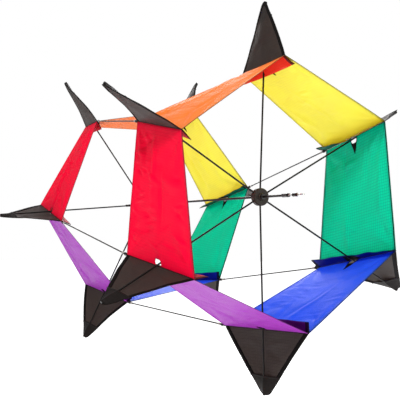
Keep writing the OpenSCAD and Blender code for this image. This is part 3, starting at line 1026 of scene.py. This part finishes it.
def make_loop(cell, corner):
    """A tape round the longeron's cap, with both ends sewn into the seam's end."""
    other = "rear" if cell == "front" else "front"
    start = longeron_end(cell, corner)
    away = (longeron_end(other, corner) - start).normalized()
    x, _, z = corner_axes(cell, corner)
    side = (z - away * z.dot(away)).normalized()
    up = away.cross(side)
    if up.dot(x) > 0:
        up = -up
    steps = LOOP_STEPS
    verts, faces, flat = [], [], []
    for k in range(steps + 1):
        t = LOOP_FROM + LOOP_SWEEP * k / steps
        for radius in (LOOP_INNER_R, LOOP_OUTER_R):
            round_cap = side * (radius * math.cos(t))
            over_cap = up * (radius * math.sin(t))
            for at in (LOOP_START, LOOP_START + LOOP_LEN):
                verts.append(start + away * at + round_cap + over_cap)
                flat.append((at, radius * t))
    for k in range(steps):
        p = 4 * k
        for q in ((0, 1), (1, 3), (3, 2), (2, 0)):
            faces.append((p + q[0], p + q[1], p + 4 + q[1], p + 4 + q[0]))
    faces.append((0, 2, 3, 1))
    faces.append((4 * steps, 4 * steps + 1, 4 * steps + 3, 4 * steps + 2))
    loop = new_object(f"{cell}_loop_{corner}", verts, faces, WEBBING)
    cloth_uv(loop, flat)
    belongs(loop, "trim_black", "corner_loops")
    make_loop_tab(cell, corner, start, away)


# A tab's start, in from the seam's line, back from its end and beside it, and its size.
TAB_IN, TAB_BACK, TAB_ASIDE = 0.0045, 0.006, 0.0013
TAB_HALF_W, TAB_HALF_T = 0.0030, 0.0003
TAB_TAPER = 0.35
TAB_SAG = 0.0012
TAB_LEN = 0.012
TAB_END_R = LONGERON_CAP_R + 0.0006
TAB_STEPS = 8


def make_loop_tab(cell, corner, start, away):
    """The loop's flat end, from the seam to the underside of the loop."""
    x, y, z = corner_axes(cell, corner)
    side = 1 if cell == "front" else -1
    seam_end = Vector((0, HUB_Y[cell], 0)) + z * CLOTH_OFF + y * (side * HALF_SEAM)
    near = seam_end + x * (SEAM_R - TAB_IN) - y * (side * TAB_BACK) + z * TAB_ASIDE
    far = start + away * (LOOP_START + LOOP_LEN / 2) - x * TAB_END_R
    wide = z * TAB_HALF_T
    verts, faces, flat = [], [], []
    steps = TAB_STEPS
    for k in range(steps + 1):
        t = k / steps
        p = near.lerp(far, t) - x * (TAB_SAG * math.sin(math.pi * t))
        half = x * TAB_HALF_W * (1 - TAB_TAPER * t)
        for corner_at in (-half - wide, half - wide, half + wide, -half + wide):
            verts.append(p + corner_at)
            flat.append((t * TAB_LEN, corner_at.dot(x)))
    for k in range(steps):
        for q in range(4):
            a, b = 4 * k + q, 4 * k + (q + 1) % 4
            faces.append((a, b, b + 4, a + 4))
    faces.append((3, 2, 1, 0))
    faces.append(tuple(4 * steps + q for q in range(4)))
    tab = new_object(f"{cell}_loop_tab_{corner}", verts, faces, WEBBING, False)
    cloth_uv(tab, flat)
    belongs(tab, "trim_black", "corner_loops")


# ---- The CAD's own pieces ----

BEVEL_ANGLE = math.radians(40)


def finish_node(name, material, bevel=None):
    """A CAD node with its material, and its sharp edges rounded if bevel is given."""
    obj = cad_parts[name]
    obj.data.materials.clear()
    obj.data.materials.append(material)
    if bevel:
        edge = obj.modifiers.new("edges", "BEVEL")
        edge.width = bevel
        edge.segments = 2
        edge.limit_method = "ANGLE"
        edge.angle_limit = BEVEL_ANGLE


def finish_frame():
    """Materials and rounded edges for every rigid CAD node."""
    rods = ["spine"] + [f"longeron_{k}" for k in CORNERS]
    rods += [f"{cell}_spar_{k}" for cell in CELLS for k in CORNERS]
    for name in rods:
        finish_node(name, ROD)
    for cell in CELLS:
        finish_node(f"{cell}_hub", HUB, 0.0005)
    for name in ("spar_end_caps", "longeron_end_caps", "hub_stops", "tail_cap"):
        finish_node(name, VINYL, 0.0003)
    finish_node("longeron_collars", COLLAR, 0.0002)
    finish_node("nose_ferrule", FERRULE, 0.0003)
    finish_node("swivel_barrel", BARREL, 0.0002)
    finish_node("swivel_link_eye", STEEL)
    finish_node("swivel_line_eye", STEEL, 0.0001)


# ---- Camera, light and floor ----

LENS_MM, SENSOR_MM = 65.16, 36.0
CAMERA_AT = Vector((-0.6366, -0.9190, -0.0517))
CAMERA_HEADING, CAMERA_RISE, CAMERA_ROLL = (math.radians(d) for d in (-26.66, 2.16, 0.41))


def make_camera():
    """The camera, ahead of the nose and to one side, almost level with the spine."""
    data = bpy.data.cameras.new("camera")
    data.lens = LENS_MM
    data.sensor_width = SENSOR_MM
    data.clip_start = 0.02
    data.clip_end = 100
    camera = bpy.data.objects.new("camera", data)
    heading = Matrix.Rotation(CAMERA_HEADING, 4, "Z")
    turn = heading @ Matrix.Rotation(math.pi / 2 + CAMERA_RISE, 4, "X")
    camera.matrix_world = Matrix.Translation(CAMERA_AT) @ turn @ Matrix.Rotation(CAMERA_ROLL, 4, "Z")
    bpy.context.scene.collection.objects.link(camera)
    bpy.context.scene.camera = camera


def make_area(name, at, aim, size, power):
    """A round, white soft box."""
    data = bpy.data.lights.new(name, "AREA")
    data.shape = "DISK"
    data.size = size
    data.energy = power
    light = bpy.data.objects.new(name, data)
    light.location = at
    light.rotation_euler = (Vector(aim) - Vector(at)).to_track_quat("-Z", "Y").to_euler()
    bpy.context.scene.collection.objects.link(light)


FLOOR_Z = -0.75
FLOOR_R = 14
FLOOR_SPREAD = 1.6  # how much closer together the floor's rings are near the kite


def make_floor():
    """A round, pale, plain floor."""
    rings, spokes = 12, 48
    verts, faces = [Vector((0, 0, FLOOR_Z))], []
    for r in range(1, rings + 1):
        radius = FLOOR_R * (r / rings) ** FLOOR_SPREAD
        for k in range(spokes):
            t = 2 * math.pi * k / spokes
            verts.append(Vector((radius * math.cos(t), radius * math.sin(t), FLOOR_Z)))
    for k in range(spokes):
        faces.append((0, 1 + k, 1 + (k + 1) % spokes))
    for r in range(rings - 1):
        for k in range(spokes):
            a, b = 1 + r * spokes + k, 1 + r * spokes + (k + 1) % spokes
            faces.append((a, a + spokes, b + spokes, b))
    mat, tree = node_setup("floor")
    shader = add(tree, "ShaderNodeBsdfPrincipled")
    shader.inputs["Base Color"].default_value = (0.93, 0.93, 0.93, 1)
    shader.inputs["Roughness"].default_value = 0.9
    shader.inputs["Emission Color"].default_value = (1, 1, 1, 1)
    shader.inputs["Emission Strength"].default_value = 0.8
    out = add(tree, "ShaderNodeOutputMaterial")
    link(tree, shader, 0, out, 0)
    floor = new_object("floor", verts, faces, mat)


AMBIENT = 0.46


def make_light():
    """A white background that gives less light than it shows, and four soft boxes."""
    world = bpy.data.worlds.new("world")
    bpy.context.scene.world = world
    world.use_nodes = True
    tree = world.node_tree
    tree.nodes.clear()
    seen = add(tree, "ShaderNodeBackground", Color=(1, 1, 1, 1), Strength=1.0)
    given = add(tree, "ShaderNodeBackground", Color=(1, 1, 1, 1), Strength=AMBIENT)
    path = add(tree, "ShaderNodeLightPath")
    pick = add(tree, "ShaderNodeMixShader")
    tree.links.new(path.outputs["Is Camera Ray"], pick.inputs[0])
    link(tree, given, 0, pick, 1)
    link(tree, seen, 0, pick, 2)
    out = add(tree, "ShaderNodeOutputWorld")
    link(tree, pick, 0, out, 0)
    middle = (0, 0.35, 0)
    make_area("key", (-1.7, -1.3, 1.9), middle, size=0.6, power=72)
    make_area("fill", (1.6, -2.2, 0.2), middle, size=1.6, power=26)
    make_area("top", (0.6, 0.8, 2.6), middle, size=1.6, power=40)
    make_area("back", (1.3, 2.8, 0.9), (0, 0.6, 0), size=1.6, power=44)
    bpy.context.scene.view_settings.view_transform = "Standard"
    bpy.context.scene.view_settings.look = "None"


# ---- Everything ----

make_camera()
make_light()
make_floor()
for cell in CELLS:
    for corner in CORNERS:
        sail = make_sail(cell, corner)
        make_patch(cell, corner, sail)
        make_winglet(cell, corner)
        make_flap(cell, corner)
        make_seam(cell, corner)
        make_loop(cell, corner)
finish_frame()
